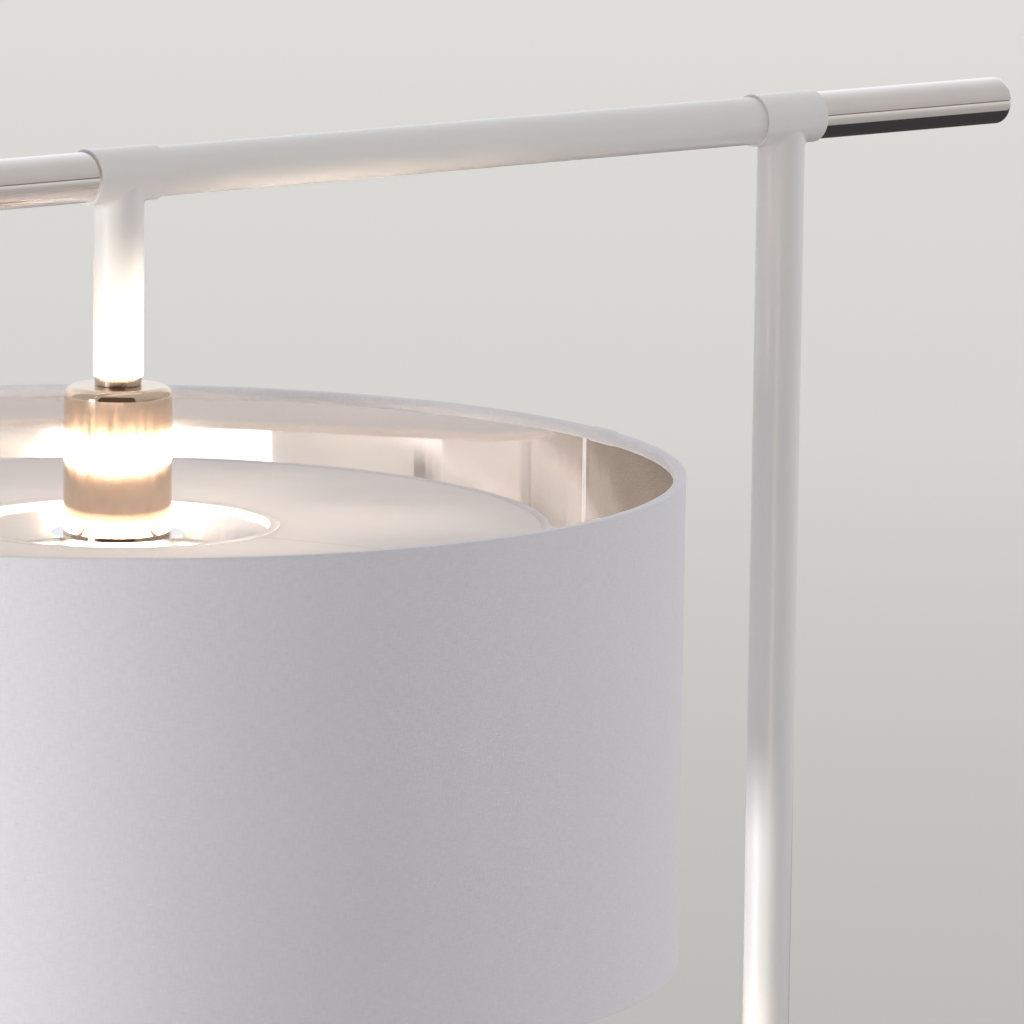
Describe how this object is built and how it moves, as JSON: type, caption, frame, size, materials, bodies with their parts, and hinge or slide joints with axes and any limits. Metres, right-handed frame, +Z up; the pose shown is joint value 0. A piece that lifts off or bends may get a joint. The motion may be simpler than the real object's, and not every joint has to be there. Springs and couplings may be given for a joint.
{
  "type": "floor lamp",
  "caption": "Floor lamp with a straight cantilever arm, weighted round base and a hanging drum shade with a mirror lining and a diffuser disc.",
  "frame": {"origin": "centre of the base's underside, on the floor", "axes": "+Z up along the post, -X along the arm from the post to the shade"},
  "size_m": [0.7257, 0.4516, 1.561],
  "materials": {
    "white_paint": "satin white paint on steel",
    "polished_nickel": "mirror-polished nickel plate",
    "shade_cloth": "fine plain-weave cloth laminated to a stiff backing",
    "silver_foil": "silver mirror foil on the shade's inside",
    "diffuser_cloth": "translucent off-white diffuser cloth",
    "diffuser_trim": "rolled cloth edge",
    "white_wire": "white coated steel wire",
    "zinc_steel": "zinc-plated steel",
    "cast_iron": "as cast",
    "felt": "dense felt",
    "black_rubber": "matte",
    "brass": "bright",
    "white_plastic": "moulded, matte",
    "clear_plastic": "glossy",
    "flex_sheath": "smooth sheath",
    "frosted_glass": "inside-frosted",
    "clear_glass": "clear",
    "black_glass": "glossy black",
    "bulb_metal": "bright",
    "filament": "yellow coated"
  },
  "bodies": {
    "stand": {"base_pad": "felt", "base_weight": "cast_iron", "base_cover": "white_paint", "post_socket": "white_paint", "base_stud": "zinc_steel", "base_washer": "zinc_steel", "base_nut": "zinc_steel", "cord_gland": "black_rubber", "flex_clamp": "zinc_steel", "clamp_screws": "zinc_steel", "lower_post": "white_paint", "middle_post": "white_paint", "upper_post": "white_paint", "post_inserts": "zinc_steel", "lower_post_stud": "zinc_steel", "upper_post_stud": "zinc_steel", "arm_tube": "white_paint", "left_stub": "polished_nickel", "right_stub": "polished_nickel", "arm_inserts": "zinc_steel", "stub_inserts": "zinc_steel", "end_studs": "zinc_steel", "grub_screws": "zinc_steel", "drop_tube": "white_paint", "drop_insert": "zinc_steel", "neck_ring": "polished_nickel", "drop_stud": "zinc_steel", "lampholder_cup": "polished_nickel", "cup_locknut": "brass", "lampholder_cap": "white_plastic", "lampholder_core": "white_plastic", "terminal_screws": "brass", "thread_shell": "brass", "centre_contact": "brass", "lampholder_skirt": "white_plastic", "inner_flex": "flex_sheath"},
    "shade": {"shade_fabric": "shade_cloth", "shade_lining": "silver_foil", "top_trim": "shade_cloth", "bottom_trim": "shade_cloth", "fitter_ring": "polished_nickel", "spider_arms": "white_wire", "top_wire": "white_wire", "bottom_wire": "white_wire", "disc_outer_edge": "diffuser_trim", "disc_inner_edge": "diffuser_trim", "diffuser_panel": "diffuser_cloth", "disc_clips": "clear_plastic"},
    "ring_nut": {"shade_ring_nut": "white_plastic"},
    "bulb": {"bulb_globe": "frosted_glass", "bulb_cap": "bulb_metal", "bulb_insulator": "black_glass", "bulb_tip": "bulb_metal", "bulb_stem": "clear_glass", "bulb_filaments": "filament"}
  },
  "joints": [
    {"name": "shade_turn", "type": "hinge", "parent": "stand", "child": "shade", "pos_m": [-0.35, 0, 1.4061], "axis": [0, 0, 1], "continuous": true},
    {"name": "ring_nut_turn", "type": "hinge", "parent": "stand", "child": "ring_nut", "pos_m": [-0.35, 0, 1.402], "axis": [0, 0, 1], "range_deg": [-1080, 0]},
    {"name": "bulb_turn", "type": "hinge", "parent": "stand", "child": "bulb", "pos_m": [-0.35, 0, 1.419], "axis": [0, 0, 1], "range_deg": [-1620, 0]}
  ]
}
